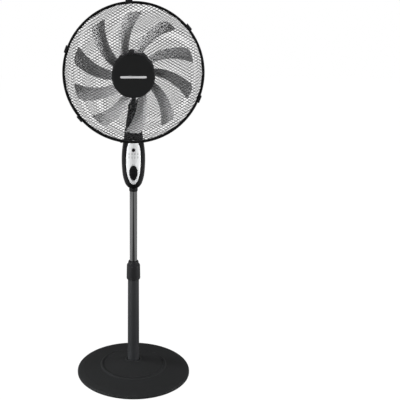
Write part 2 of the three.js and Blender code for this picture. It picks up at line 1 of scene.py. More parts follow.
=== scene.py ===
# %% [markdown]
# # A pedestal fan, step by step
# The frame that is loaded below holds the fan's plain solids: every piece at its true size and place, and
# the bodies that move. This lesson makes the surfaces that an eye sees: smooth turned parts, a woven wire
# guard, swept blades, a control panel with its keys, and a finish for each material. Lengths are in metres,
# +Z is up, the fan blows to -Y.

# %% Load the frame
import json
import math

import bmesh
import bpy
from mathutils import Matrix, Vector


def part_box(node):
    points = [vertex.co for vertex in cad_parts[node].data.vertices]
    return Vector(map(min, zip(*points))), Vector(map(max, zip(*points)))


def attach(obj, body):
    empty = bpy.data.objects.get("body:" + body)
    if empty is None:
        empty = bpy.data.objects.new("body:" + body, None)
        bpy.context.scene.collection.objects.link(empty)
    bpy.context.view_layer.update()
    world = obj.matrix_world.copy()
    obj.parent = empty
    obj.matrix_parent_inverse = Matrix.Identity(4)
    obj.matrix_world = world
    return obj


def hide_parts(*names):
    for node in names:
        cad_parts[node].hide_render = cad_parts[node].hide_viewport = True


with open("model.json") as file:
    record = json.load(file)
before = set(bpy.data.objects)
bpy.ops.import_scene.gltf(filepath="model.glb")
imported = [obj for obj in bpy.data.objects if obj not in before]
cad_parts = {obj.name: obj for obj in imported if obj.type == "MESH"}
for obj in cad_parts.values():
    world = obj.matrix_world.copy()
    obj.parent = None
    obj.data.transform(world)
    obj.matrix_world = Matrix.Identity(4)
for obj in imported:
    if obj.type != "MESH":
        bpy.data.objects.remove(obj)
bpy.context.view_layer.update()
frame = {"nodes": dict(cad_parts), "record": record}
NODES = frame["nodes"]
MM = 0.001

# %% [markdown]
# ## The camera and the studio
# A long lens a little above the fan's middle shows the base as an ellipse and keeps the mast upright. The
# camera stands about 2.5 m away and looks down by 15.4 degrees. The lens shift puts the fan left of the
# middle without turning the camera.

# %% Camera
PITCH = math.radians(15.4)
camera = bpy.data.objects.new("camera", bpy.data.cameras.new("camera"))
bpy.context.scene.collection.objects.link(camera)
camera.location = (0, -2.524, 1.382)
camera.rotation_euler = (math.pi / 2 - PITCH, 0, 0)
camera.data.lens = 72.71
camera.data.shift_x = 0.1664
camera.data.shift_y = -0.0503
bpy.context.scene.camera = camera
print("camera at", tuple(camera.location))

# %% [markdown]
# Four soft lamps light the fan from the sides and the front. They don't show in reflections: what chrome
# and gloss plastic mirror is the world, dark in front (-Y) and a little paler at the sides and behind. To
# the camera itself the world and the floor are plain white. To every other ray the floor is dark under the
# fan and glows a little at the sides. A real white floor would light the dark plastics from below and turn
# them pale, so this one is a studio trick and no finish of a real floor.


# %% Studio
def link(tree, a, b):
    tree.links.new(a, b)


def add(tree, kind, inputs=(), **settings):
    """A new shader node: first its settings, then its inputs, each linked to a socket or set to a value."""
    node = tree.nodes.new("ShaderNode" + kind)
    for key, value in settings.items():
        setattr(node, key, value)
    for key, value in dict(inputs).items():
        if isinstance(value, bpy.types.NodeSocket):
            link(tree, value, node.inputs[key])
        else:
            node.inputs[key].default_value = value
    return node


def calc(tree, operation, *values, clamp=False):
    """The result of a Math node."""
    return add(tree, "Math", dict(enumerate(values)), operation=operation, use_clamp=clamp).outputs[0]


def make_world():
    world = bpy.data.worlds.new("studio")
    bpy.context.scene.world = world
    world.use_nodes = True
    tree = world.node_tree
    tree.nodes.clear()
    split = add(tree, "SeparateXYZ", {0: add(tree, "TexCoord").outputs["Generated"]})
    sides = add(tree, "ValToRGB", {0: calc(tree, "ABSOLUTE", split.outputs["X"])})
    for element, place, grey in zip(sides.color_ramp.elements, (0.18, 0.46), (0.02, 0.13)):
        element.position = place
        element.color = (grey, grey, grey, 1)
    behind = add(tree, "MapRange", {"Value": split.outputs["Y"], "From Min": 0.1, "From Max": 0.9,
                                    "To Max": 0.06})
    both = calc(tree, "MAXIMUM", sides.outputs["Color"], behind.outputs["Result"])
    room = add(tree, "Background", {"Color": both, "Strength": 1.0})
    white = add(tree, "Background", {"Color": (1, 1, 1, 1), "Strength": 1.0})
    eye = add(tree, "LightPath").outputs["Is Camera Ray"]
    mix = add(tree, "MixShader", {0: eye, 1: room.outputs[0], 2: white.outputs[0]})
    add(tree, "OutputWorld", {"Surface": mix.outputs[0]})


def softbox(name, place, target, width, height, power, spread=180):
    data = bpy.data.lights.new(name, "AREA")
    data.spread = math.radians(spread)
    data.shape = "RECTANGLE"
    data.size, data.size_y, data.energy = width, height, power
    lamp = bpy.data.objects.new(name, data)
    bpy.context.scene.collection.objects.link(lamp)
    lamp.location = place
    lamp.rotation_euler = (Vector(target) - Vector(place)).to_track_quat("-Z", "Y").to_euler()
    lamp.visible_glossy = False


make_world()
softbox("left_softbox", (-2.7, -0.45, 1.5), (0, 0, 0.8), 1.2, 2.0, 225)
softbox("right_softbox", (2.7, -0.4, 1.15), (0, 0, 1.05), 1.2, 2.0, 64, 90)
softbox("front_softbox", (-1.3, -2.6, 0.9), (0, 0, 0.5), 0.9, 1.2, 12)
softbox("low_softbox", (-1.0, -1.6, 0.3), (0, 0, 0.03), 0.7, 0.4, 4.5, 70)
bpy.context.scene.view_settings.view_transform = "Standard"


def make_floor():
    size = 7.0
    mesh = bpy.data.meshes.new("floor")
    corners = [(-size, -size, 0), (size, -size, 0), (size, size, 0), (-size, size, 0)]
    mesh.from_pydata(corners, [], [(0, 1, 2, 3)])
    floor = bpy.data.objects.new("floor", mesh)
    bpy.context.scene.collection.objects.link(floor)
    material = bpy.data.materials.new("floor_white")
    material.use_nodes = True
    tree = material.node_tree
    shader = tree.nodes["Principled BSDF"]
    shader.inputs["Base Color"].default_value = (0.03, 0.03, 0.03, 1)
    shader.inputs["Roughness"].default_value = 0.9
    shader.inputs["Specular IOR Level"].default_value = 0.0
    shader.inputs["Emission Color"].default_value = (1, 1, 1, 1)
    split = add(tree, "SeparateXYZ", {0: add(tree, "TexCoord").outputs["Object"]})
    side = calc(tree, "ABSOLUTE", split.outputs["X"])
    glow = add(tree, "MapRange", {"Value": side, "From Min": 0.4, "From Max": 0.9, "To Max": 0.26})
    eye = add(tree, "LightPath").outputs["Is Camera Ray"]
    link(tree, calc(tree, "MAXIMUM", eye, glow.outputs["Result"]), shader.inputs["Emission Strength"])
    mesh.materials.append(material)


make_floor()
print("world:", bpy.context.scene.world.name, "lamps:", len(bpy.data.lights))

# %% [markdown]
# ## Finishes
# A moulded or painted surface is never one flat value. Three effects are shared by many materials here, so
# each is a node group with named sockets: a fine *grain* that becomes a bump, slow *variation* that breaks
# up the gloss, and *edge wear* that lightens corners. A group only gives values; the Principled shader
# stays in each material.


# %% Shared node groups
def new_group(name, inputs, outputs):
    group = bpy.data.node_groups.new(name, "ShaderNodeTree")
    for label, kind, value in inputs:
        socket = group.interface.new_socket(name=label, in_out="INPUT", socket_type=kind)
        socket.default_value = value
    for label, kind in outputs:
        group.interface.new_socket(name=label, in_out="OUTPUT", socket_type=kind)
    return group, group.nodes.new("NodeGroupInput"), group.nodes.new("NodeGroupOutput")


FLOAT, COLOUR = "NodeSocketFloat", "NodeSocketColor"


def noise_here(tree, detail, scale, roughness=0.5):
    """Noise in the piece's own space, from 0 to 1."""
    where = add(tree, "TexCoord").outputs["Object"]
    inputs = {"Vector": where, "Scale": scale, "Detail": detail, "Roughness": roughness}
    return add(tree, "TexNoise", inputs).outputs["Fac"]


def make_grain():
    """Fine moulded or sprayed texture: noise in object space, as a height from 0 to 1."""
    group, inp, out = new_group("fine_grain", [("Scale", FLOAT, 900.0), ("Depth", FLOAT, 1.0)],
                                [("Height", FLOAT)])
    noise = noise_here(group, 3.0, inp.outputs["Scale"], 0.6)
    link(group, calc(group, "MULTIPLY", noise, inp.outputs["Depth"]), out.inputs["Height"])
    return group


def make_variation():
    """Slow change over a surface, as moulding leaves it: a colour and a roughness near the given ones."""
    inputs = [("Color", COLOUR, (0.5, 0.5, 0.5, 1)), ("Roughness", FLOAT, 0.5), ("Amount", FLOAT, 0.1),
              ("Scale", FLOAT, 14.0)]
    group, inp, out = new_group("slow_variation", inputs, [("Color", COLOUR), ("Roughness", FLOAT)])
    centred = calc(group, "SUBTRACT", noise_here(group, 4.0, inp.outputs["Scale"]), 0.5)
    change = calc(group, "MULTIPLY", centred, inp.outputs["Amount"])
    bright = calc(group, "ADD", change, 1.0)
    shade = add(group, "VectorMath", {0: inp.outputs["Color"]}, operation="SCALE")
    link(group, bright, shade.inputs["Scale"])
    link(group, shade.outputs[0], out.inputs["Color"])
    link(group, calc(group, "ADD", inp.outputs["Roughness"], change, clamp=True), out.inputs["Roughness"])
    return group


def make_wear():
    """A mask of convex edges, broken by noise, from how pointed the surface is."""
    group, inp, out = new_group("edge_wear", [("Amount", FLOAT, 0.5)], [("Mask", FLOAT)])
    pointed = add(group, "NewGeometry").outputs["Pointiness"]
    ramp = add(group, "MapRange", {"Value": pointed, "From Min": 0.53, "From Max": 0.62})
    broken = calc(group, "MULTIPLY", ramp.outputs["Result"], noise_here(group, 2.0, 60.0))
    link(group, calc(group, "MULTIPLY", broken, inp.outputs["Amount"]), out.inputs["Mask"])
    return group


GRAIN, VARIATION, WEAR = make_grain(), make_variation(), make_wear()
print("groups:", GRAIN.name, VARIATION.name, WEAR.name)

# %% [markdown]
# Every finish is then one call. `finish` builds a Principled material: colour and roughness come through
# the slow variation, the grain feeds a Bump node, and worn edges mix towards a second colour. Values that
# are the same all over, such as coat or specular level, are set on the shader itself.


# %% Material maker
def finish(name, colour, rough, metal=0.0, grain=(900.0, 0.02), vary=(0.1, 14.0), wear=0.0, coat=0.0,
           specular=0.5, direction=None):
    material = bpy.data.materials.new(name)
    material.use_nodes = True
    tree = material.node_tree
    shader = tree.nodes["Principled BSDF"]
    given = {"Color": (*colour, 1), "Roughness": rough, "Amount": vary[0], "Scale": vary[1]}
    slow = add(tree, "Group", given, node_tree=VARIATION)
    edge = add(tree, "Group", {"Amount": wear}, node_tree=WEAR)
    pale = [min(1.0, 2.2 * c + 0.02) for c in colour]
    mix = add(tree, "Mix", {"Factor": edge.outputs["Mask"], "A": slow.outputs["Color"], "B": (*pale, 1)},
              data_type="RGBA")
    link(tree, mix.outputs["Result"], shader.inputs["Base Color"])
    link(tree, slow.outputs["Roughness"], shader.inputs["Roughness"])
    if direction:
        where = add(tree, "TexCoord").outputs["Object"]
        stretch = add(tree, "Mapping", {"Vector": where, "Scale": direction})
        lines = {"Vector": stretch.outputs["Vector"], "Scale": grain[0]}
        height = add(tree, "TexNoise", lines).outputs["Fac"]
    else:
        height = add(tree, "Group", {"Scale": grain[0]}, node_tree=GRAIN).outputs["Height"]
    bump = add(tree, "Bump", {"Height": height, "Distance": 0.0004, "Strength": grain[1]})
    link(tree, bump.outputs["Normal"], shader.inputs["Normal"])
    for key, value in {"Metallic": metal, "Coat Weight": coat, "Coat Roughness": 0.08,
                       "Specular IOR Level": specular}.items():
        shader.inputs[key].default_value = value
    return material


MATERIALS = {
    "base_black": finish("base_moulding", (0.0112, 0.0116, 0.0119), 0.5, grain=(1500, 0.35), vary=(0.16, 9),
                         wear=0.25),
    "ballast": finish("cast_ballast", (0.10, 0.10, 0.105), 0.7, 0.6, grain=(420, 0.7), vary=(0.35, 20),
                      wear=0.5),
    "plain_steel": finish("zinc_steel", (0.46, 0.46, 0.45), 0.38, 1.0, grain=(600, 0.12), vary=(0.25, 40),
                          wear=0.4),
    "laminated_steel": finish("laminated_steel", (0.30, 0.30, 0.31), 0.5, 1.0, grain=(300, 0.5),
                              direction=(0.05, 6, 0.05)),
    "tube_dark": finish("tube_powder_coat", (0.019, 0.0198, 0.021), 0.42, 0.1, grain=(1900, 0.5),
                        vary=(0.12, 12),
                        wear=0.3),
    "white_nylon": finish("white_nylon", (0.70, 0.70, 0.67), 0.5, grain=(900, 0.1)),
    "collar_black": finish("collar_moulding", (0.0105, 0.0105, 0.0113), 0.44, grain=(1700, 0.45),
                           vary=(0.16, 20),
                           wear=0.35),
    "mast_chrome": finish("mast_chrome", (0.50, 0.505, 0.51), 0.10, 1.0, grain=(260, 0.015), vary=(0.05, 18)),
    "black_plastic": finish("black_moulding", (0.007, 0.007, 0.0075), 0.42, grain=(1300, 0.3), wear=0.3,
                            specular=0.35),
    "housing_black": finish("housing_gloss", (0.003, 0.003, 0.0032), 0.22, grain=(700, 0.03), vary=(0.06, 16),
                            wear=0.15, coat=0.1, specular=0.28),
    "fascia_silver": finish("fascia_silver_paint", (0.47, 0.475, 0.48), 0.4, 0.05, grain=(2600, 0.22),
                            vary=(0.05, 25), wear=0.1),
    "light_guide": finish("lamp_guide", (0.10, 0.11, 0.11), 0.22, grain=(900, 0.02), coat=0.5),
    "dark_lens": finish("infrared_window", (0.006, 0.004, 0.005), 0.06, grain=(500, 0.008), coat=0.8),
    "board": finish("board_resist", (0.02, 0.11, 0.045), 0.32, grain=(700, 0.2), coat=0.3),
    "soft_rubber": finish("soft_rubber", (0.012, 0.012, 0.012), 0.82, grain=(800, 0.8), vary=(0.2, 30)),
    "key_black": finish("key_moulding", (0.005, 0.005, 0.0055), 0.34, grain=(1400, 0.2), vary=(0.1, 60),
                        wear=0.3,
                        specular=0.35),
    "motor_black": finish("motor_moulding", (0.015, 0.015, 0.016), 0.4, grain=(1300, 0.4), wear=0.3),
    "guard_wire": finish("guard_wire", (0.05, 0.05, 0.052), 0.4, 0.4, grain=(1200, 0.05), vary=(0.1, 30)),
    "ring_black": finish("ring_gloss", (0.004, 0.004, 0.0042), 0.3, grain=(900, 0.06), vary=(0.08, 16),
                         wear=0.2,
                         specular=0.3),
    "badge_black": finish("badge_satin", (0.0110, 0.0113, 0.0115), 0.5, grain=(1800, 0.3), vary=(0.12, 12),
                          wear=0.2),
    "clip_black": finish("clip_moulding", (0.011, 0.011, 0.012), 0.4, grain=(1300, 0.3), wear=0.4),
    "blade_grey": finish("blade_moulding", (0.50, 0.50, 0.505), 0.38, grain=(1100, 0.08), vary=(0.06, 10)),
}
# A light grey for the printed marks on the fascia and pad, and a painted highlight on the black neck's oval
# ridge.
PRINT_AND_HIGHLIGHT_GREY = finish("print_and_painted_highlight_grey", (0.16, 0.16, 0.165), 0.5, grain=(900, 0.05))
BADGE_SILVER = finish("badge_bar_silver", (0.60, 0.60, 0.61), 0.36, 0.1, grain=(900, 0.08),
                      direction=(0.1, 3, 3))
SLOT_OF = {entry["node"]: entry["material_slot"] for entry in frame["record"]["subparts"]}
for name, node in NODES.items():
    node.data.materials.clear()
    node.data.materials.append(MATERIALS[SLOT_OF[name]])
print("materials:", len(MATERIALS) + 2)

# %% [markdown]
# ## Making pieces
# Most of a pedestal fan is turned: tubes, base, collar, trim ring, hub. A turned piece is an outline of
# (radius, height) points spun about an axis. Corners get a small arc first, because no moulded edge is
# sharp. The outline stays a short list; `rounded` puts the arcs in, and `loft` joins ring to ring with
# quads.


# %% Turned pieces
def rounded(points, radius, steps=4, closed=True):
    """The outline with each corner rounded by about that radius, or by its own as a third value."""
    out = []
    count = len(points)
    for i, point in enumerate(points):
        here = Vector(point[:2])
        r = point[2] if len(point) > 2 else radius
        if not closed and i in (0, count - 1):
            out.append(here)
            continue
        before = Vector(points[i - 1][:2]) - here
        after = Vector(points[(i + 1) % count][:2]) - here
        cut = min(r, before.length * 0.45, after.length * 0.45)
        if cut < 1e-6:
            out.append(here)
            continue
        a, b = here + before.normalized() * cut, here + after.normalized() * cut
        for k in range(steps + 1):
            t = k / steps
            out.append((1 - t) ** 2 * a + 2 * t * (1 - t) * here + t * t * b)
    return out


def piece(name, verts, faces, body, slot, replaces=(), smooth=40.0, material=None):
    """A mesh object from points and faces, shaded smooth, with its finish, riding on its body."""
    mesh = bpy.data.meshes.new(name)
    mesh.from_pydata([tuple(v) for v in verts], [], faces)
    obj = bpy.data.objects.new(name, mesh)
    bpy.context.scene.collection.objects.link(obj)
    work = bmesh.new()
    work.from_mesh(mesh)
    bmesh.ops.remove_doubles(work, verts=work.verts, dist=1e-7)
    bmesh.ops.recalc_face_normals(work, faces=work.faces)
    work.to_mesh(mesh)
    work.free()
    mesh.shade_smooth()
    mesh.set_sharp_from_angle(angle=math.radians(smooth))
    mesh.materials.append(material or MATERIALS[slot])
    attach(obj, body)
    if replaces:
        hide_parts(*replaces)
    return obj


def outline_mm(points, radius, steps=4, closed=True):
    """A rounded outline whose points and radius are given in millimetres."""
    return rounded([tuple(v * MM for v in p) for p in points], radius * MM, steps, closed)


def loft(rings, ends=False, around=False, open_ring=False):
    """Points and faces through rings of equal count, with flat ends or joined round to the first ring."""
    n, count = len(rings[0]), len(rings)
    verts = [p for ring in rings for p in ring]
    faces = []
    for k in range(count if around else count - 1):
        a, b = k * n, (k + 1) % count * n
        for i in range(n - 1 if open_ring else n):
            j = (i + 1) % n
            faces.append((a + i, a + j, b + j, b + i))
    if ends:
        faces += [tuple(range(n))[::-1], tuple(range(len(verts) - n, len(verts)))]
    return verts, faces


def spin_data(outline, sides, axis="Z", centre=(0, 0, 0)):
    """Points and faces of a turned solid. An outline that starts on the axis is open, any other closes."""
    rings = []
    for k in range(sides):
        u, v = math.cos(2 * math.pi * k / sides), math.sin(2 * math.pi * k / sides)
        rings.append([Vector(centre) + Vector((r * u, r * v, h) if axis == "Z" else (r * u, h, r * v))
                      for r, h in outline])
    return loft(rings, around=True, open_ring=abs(outline[0][0]) < 1e-9)


def turned(name, points, radius, body, slot, replaces=(), sides=128, axis="Z", centre=(0, 0, 0), smooth=40.0):
    outline = outline_mm(points, radius, closed=abs(points[0][0]) >= 1e-9)
    verts, faces = spin_data(outline, sides, axis, centre)
    return piece(name, verts, faces, body, slot, replaces, smooth)


def join_data(*parts):
    verts, faces = [], []
    for v, f in parts:
        base = len(verts)
        verts += list(v)
        faces += [tuple(i + base for i in face) for face in f]
    return verts, faces


def plate(outline, layers, middle):
    """A plate with soft edges: an outline of (y, z) at each x place, scaled about its middle."""
    my, mz = middle
    return loft([[Vector((x, my + (y - my) * scale, mz + (z - mz) * scale)) * MM for y, z in outline]
                 for x, scale in layers], ends=True)


print("points of a rounded square:", len(rounded([(0, 0), (1, 0), (1, 1), (0, 1)], 0.1)))


# %% [markdown]
# ## Base
# The base is a thin moulded cover over a steel plate: a rolled rim, a gently rising apron, a raised bead, a
# shallow valley and a cone that climbs to the tube. All of it is one outline. The cover is hollow below, as
# such covers are.


# %% Base cover
def size_of(node):
    low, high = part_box(node)
    return Vector(low) / MM, Vector(high) / MM


base_high = size_of("base_cover")[1]
R, TOP = base_high.x, base_high.z
TUBE_R0 = size_of("lower_tube")[1].x
base_outline = [
    (R - 2.6, 2), (R, 2.6), (R, 9.5, 3.5), (R - 3.4, 12.6, 4), (172, 17.6), (150, 22), (130, 25.4),
    (113.5, 28.0, 3),
    (110, 31.2, 3), (107, 32.0, 2.5), (104, 31.6, 3), (100.5, 30.6, 3), (92, 32.4, 6), (78, 35.6, 6),
    (56, 41.3, 6), (38, 45.8, 6), (TUBE_R0 + 7.5, 47.6, 2), (TUBE_R0 + 5.4, 49.2, 1.2),
    (TUBE_R0 + 3.6, TOP, 1),
    (TUBE_R0 + 1.4, TOP, 0.8), (TUBE_R0 + 0.7, TOP - 1), (TUBE_R0 + 0.7, TOP - 4), (TUBE_R0 + 6, TOP - 6),
    (78, 32.6), (101, 27.4), (113, 25.2), (150, 19), (172, 14.8), (R - 4, 10), (R - 2.6, 8)]
turned("base_moulding", base_outline, 1.2, "stand", "base_black", ["base_cover"], sides=192)
for k in range(1, 6):
    low, high = size_of(f"foot_pad_{k}")
    mid = (low + high) / 2
    r = (high.x - low.x) / 2
    pad = [(0, 0), (r - 1.2, 0), (r, 1.2), (r, high.z - 0.2), (0, high.z - 0.2)]
    turned(f"foot_{k}", pad, 0.6, "stand", "soft_rubber", [f"foot_pad_{k}"], 48,
           centre=(mid.x * MM, mid.y * MM, 0))
print("base outline points:", len(base_outline))

# %% [markdown]
# ## Tubes and twist collar
# The lower tube tapers slightly and is powder coated. The collar is a chunky moulding with a soft lip at
# its top and a fine parting groove near its foot. The upper mast is chromed steel: with a turned surface
# and a mirror finish, the dark stripe in its middle is simply the room behind the camera.

# %% Tubes and collar
t0, t1 = size_of("lower_tube")
T_TOP = t1.z
turned("lower_tube_coated", [(TUBE_R0 - 1.6, t0.z), (TUBE_R0, t0.z), (TUBE_R0 - 1.4, T_TOP),
                             (TUBE_R0 - 3, T_TOP)],
       0.5, "stand", "tube_dark", ["lower_tube"], sides=96)
m0, m1 = size_of("mast_tube")
MAST = m1.x
turned("mast_chromed", [(MAST - 1.2, m0.z), (MAST, m0.z), (MAST, m1.z), (MAST - 1.2, m1.z)], 0.4,
       "mast", "mast_chrome", ["mast_tube"], sides=96)
c0, c1 = size_of("height_collar")
CR = c1.x
collar_outline = [
    (TUBE_R0 - 0.9, c0.z), (CR - 1.6, c0.z, 0.8), (CR - 0.2, c0.z + 2.4, 1.2), (CR, c0.z + 6),
    (CR - 0.15, c0.z + 9),
    (CR - 0.75, c0.z + 9.4, 0.2), (CR - 0.75, c0.z + 10.4, 0.2), (CR - 0.2, c0.z + 10.8),
    (CR - 0.9, c1.z - 15, 2),
    (CR - 2.2, c1.z - 11.8, 1.4), (MAST + 5.6, c1.z - 9.2, 1.2), (MAST + 4.9, c1.z - 2.4, 1),
    (MAST + 3.8, c1.z, 1.2), (MAST + 1, c1.z, 0.4), (MAST + 0.6, c1.z - 3), (MAST + 0.6, c0.z + 38),
    (MAST + 3.4, c0.z + 35.4), (TUBE_R0 - 2.4, c0.z + 14.5), (TUBE_R0 - 0.9, c0.z + 14)]
turned("twist_collar", collar_outline, 0.6, "collar", "collar_black", ["height_collar"], sides=128)
r0, r1 = size_of("mast_top_ring")
turned("mast_ring", [(MAST + 0.4, r0.z), (r1.x - 0.7, r0.z, 0.5), (r1.x, r0.z + 1.8, 0.9),
                     (r1.x, r1.z - 1.4, 0.6),
                     (r1.x - 0.5, r1.z), (MAST + 0.4, r1.z)], 0.3, "mast", "black_plastic",
                     ["mast_top_ring"], 96)
print("collar radius mm:", round(CR, 1))

# %% [markdown]
# ## Control housing
# The housing is a long drop shape that is round in section. A smooth curve through a few widths gives its
# radius at any height, and the same curve places everything that lies on its skin: fascia, window, lamps
# and keys. The front half has an oval opening: the cells of its skin that lie inside are left out, and the
# points at the edge move onto the oval.

# %% Housing form
h0, h1 = size_of("control_rear_shell")
HZ, HH, HR = h0.z, h1.z - h0.z, 37.0
WIDTHS = [(0, 0.43), (5, 0.56), (12, 0.70), (22, 0.805), (33, 0.89), (47, 0.957), (68, 1.005), (89, 1.025),
          (110, 1.015), (125, 0.985), (138, 0.944), (152, 0.883), (174, 0.80), (196, 0.74)]


def half_width(z):
    """Smooth (cubic Hermite) curve through the widths, z in mm."""
    t = min(max(z - HZ, 0.0), HH)
    i = max(k for k in range(len(WIDTHS) - 1) if WIDTHS[k][0] <= t or k == 0)
    (z0, f0), (z1, f1) = WIDTHS[i], WIDTHS[i + 1]

    def slope(k):
        a, b = max(k - 1, 0), min(k + 1, len(WIDTHS) - 1)
        return (WIDTHS[b][1] - WIDTHS[a][1]) / (WIDTHS[b][0] - WIDTHS[a][0])

    w = z1 - z0
    s = (t - z0) / w
    return HR * ((2 * s**3 - 3 * s**2 + 1) * f0 + (s**3 - 2 * s**2 + s) * w * slope(i)
                 + (3 * s**2 - 2 * s**3) * f1 + (s**3 - s**2) * w * slope(i + 1))


def on_skin(x, z, out=0.0):
    """The point of the front skin at (x, z), moved out by some mm."""
    r = half_width(z) + out
    return Vector((x, -math.sqrt(max(r * r - x * x, 0.0)), z)) * MM


FZ, FA, FC, FULL = HZ + 90, 23.05, 73.0, 2.7


def egg(t, more=0.0):
    """A point (x, z) of the fascia's outline at turn t: an ellipse below, a fuller curve above."""
    power = 2 / FULL if math.sin(t) > 0 else 1.0
    u, v = math.cos(t), math.sin(t)
    x = (FA + more) * math.copysign(abs(u) ** power, u)
    return x, FZ + (FC + more) * math.copysign(abs(v) ** power, v)


def in_egg(x, z, more=0.0):
    power = FULL if z > FZ else 2.0
    return (abs(x) / (FA + more)) ** power + (abs(z - FZ) / (FC + more)) ** power < 1


print("housing half width mm at the fascia's middle:", round(half_width(FZ), 1))


# %% Housing shells
def housing_half(name, front):
    """One half of the housing: rows of heights, columns of angles, with wall thickness and rounded rims."""
    outer, inner = [], []
    rows, cols = 96, 48
    sign = -1 if front else 1
    gap = 0.25
    for i in range(rows + 1):
        z = HZ + HH * i / rows
        r = half_width(z)
        end = min(i / rows, 1 - i / rows) * HH
        r -= 1.2 * (1 - min(end / 2.0, 1.0)) ** 2
        start = math.asin(min(gap / r, 1.0))
        outer.append([])
        inner.append([])
        for j in range(cols + 1):
            a = start + (math.pi - 2 * start) * j / cols
            direction = Vector((math.cos(a), sign * math.sin(a), 0))
            outer[-1].append(Vector((0, 0, z)) + direction * r)
            zi = min(max(z, HZ + 2.4), HZ + HH - 2.4)
            inner[-1].append(Vector((0, 0, zi)) + direction * max(r - 2.2, 13.0))
    verts, index = [], {}
    for tag, grid in (("o", outer), ("i", inner)):
        for i, row in enumerate(grid):
            for j, v in enumerate(row):
                index[tag, i, j] = len(verts)
                verts.append(v * MM)
    keep = {}
    for i in range(rows):
        z = HZ + HH * (i + 0.5) / rows
        for j in range(cols):
            x = (outer[i][j].x + outer[i][j + 1].x) / 2
            keep[i, j] = not (front and in_egg(x, z, 0.6))
    faces = []
    for (i, j), kept in keep.items():
        if not kept:
            continue
        faces.append((index["o", i, j], index["o", i, j + 1], index["o", i + 1, j + 1], index["o", i + 1, j]))
        faces.append((index["i", i, j], index["i", i + 1, j], index["i", i + 1, j + 1], index["i", i, j + 1]))
        edges = {(i, j - 1): ((i, j), (i + 1, j)), (i, j + 1): ((i, j + 1), (i + 1, j + 1)),
                 (i - 1, j): ((i, j), (i, j + 1)), (i + 1, j): ((i + 1, j), (i + 1, j + 1))}
        for neighbour, (p, q) in edges.items():
            if not keep.get(neighbour):
                faces.append((index["o", *p], index["o", *q], index["i", *q], index["i", *p]))
    if front:
        for i in range(rows + 1):
            for j in range(cols + 1):
                near = [keep.get((i + a, j + b)) for a in (-1, 0) for b in (-1, 0)]
                if True in near and False in near:
                    for tag, out in (("o", 0.0), ("i", -2.2)):
                        v = verts[index[tag, i, j]] / MM
                        power = FULL / 2 if v.z > FZ else 1.0
                        t = math.atan2(math.copysign((abs(v.z - FZ) / FC) ** power, v.z - FZ),
                                       math.copysign((abs(v.x) / FA) ** power, v.x))
                        verts[index[tag, i, j]] = on_skin(*egg(t, 0.5), out)
    return verts, faces


verts, faces = housing_half("front", True)
housing_front = piece("housing_front", verts, faces, "mast", "housing_black", ["control_front_shell"],
                      smooth=50)
verts, faces = housing_half("rear", False)
housing_rear = piece("housing_rear", verts, faces, "mast", "housing_black", ["control_rear_shell"], smooth=50)


def tongue(side):
    """The lip inside the parting line of one side, which closes the gap between the two halves."""
    rings, rows = [], 64
    for i in range(rows + 1):
        z = HZ + 3 + (HH - 6) * i / rows
        r = half_width(z) - 2.3
        rings.append([Vector((side * x, y, z)) * MM for x,
                      y in ((r, -1.8), (r, 1.8), (r - 0.8, 1.8), (r - 0.8, -1.8))])
    return loft(rings, ends=True)


piece("housing_tongue", *join_data(tongue(-1), tongue(1)), "mast", "housing_black", smooth=40)
print("housing faces:", len(housing_front.data.polygons), len(housing_rear.data.polygons))

# %% [markdown]
# The gloss bezel has a soft lip all round the fascia. A bead that follows the oval on the skin gives that
# lip its highlight, and hides the joint between the two pieces as the real lip does.


# %% Beads along a curve
def bead(path, radius, sides=10, closed=True):
    """A round bead along a list of points."""
    rings = []
    count = len(path)
    for k in range(count):
        before = path[k - 1] if closed or k else path[0]
        after = path[(k + 1) % count] if closed or k < count - 1 else path[-1]
        along = (after - before).normalized()
        up = Vector((0, 0, 1)) if abs(along.z) < 0.9 else Vector((0, 1, 0))
        side = along.cross(up).normalized()
        other = side.cross(along)
        rings.append([path[k] + side * radius * math.cos(a) + other * radius * math.sin(a)
                      for a in (2 * math.pi * s / sides for s in range(sides))])
    return loft(rings, ends=not closed, around=closed)


def egg_path(more, out, count=192):
    return [on_skin(*egg(2 * math.pi * k / count, more), out) for k in range(count)]


piece("housing_lip", *bead(egg_path(0.75, -0.25), 0.9 * MM), "mast", "housing_black", smooth=180)
piece("housing_ridge", *bead(egg_path(6.0, -0.15), 0.5 * MM), "mast", "key_black", smooth=180)
print("lip height mm:", round(2 * (FC + 0.75), 1))

# %% [markdown]
# ## Fascia, keys, lamps and window
# Everything here is a *cap*: an outline on the skin, filled by shrinking it towards its middle. The edge
# rolls down like a moulded corner. Holes are real too: the fascia is filled between its oval and the pad's
# oval instead of to a point.


# %% Caps on the skin
def cap(outline, centre, out, depth, roll=0.8, rings=7, crown=0.0):
    """A closed cap: outline of (x, z), middle, height over the skin, thickness, rolled edge, crown."""
    cx, cz = centre
    span = min(math.hypot(x - cx, z - cz) for x, z in outline)
    shrinks = [roll / span * (1 - math.cos(math.pi / 2 * k / 4)) for k in range(5)]
    drops = [roll * (1 - math.sin(math.pi / 2 * k / 4)) for k in range(5)]
    more = [(shrinks[-1] + (1 - shrinks[-1]) * (k + 1) / rings, 0.0) for k in range(rings)]
    levels = [(0.0, depth)] + list(zip(shrinks, drops)) + more
    verts, faces = loft([[on_skin(cx + (x - cx) * (1 - shrink), cz + (z - cz) * (1 - shrink),
                                  out - drop + crown * (1 - (1 - shrink) ** 2)) for x, z in outline]
                         for shrink, drop in levels])
    n = len(outline)
    back = len(verts)
    verts += [on_skin(x, z, out - depth) for x, z in [*outline, centre]]
    faces += [(back + (i + 1) % n, back + i, back + n) for i in range(n)]
    return verts, faces


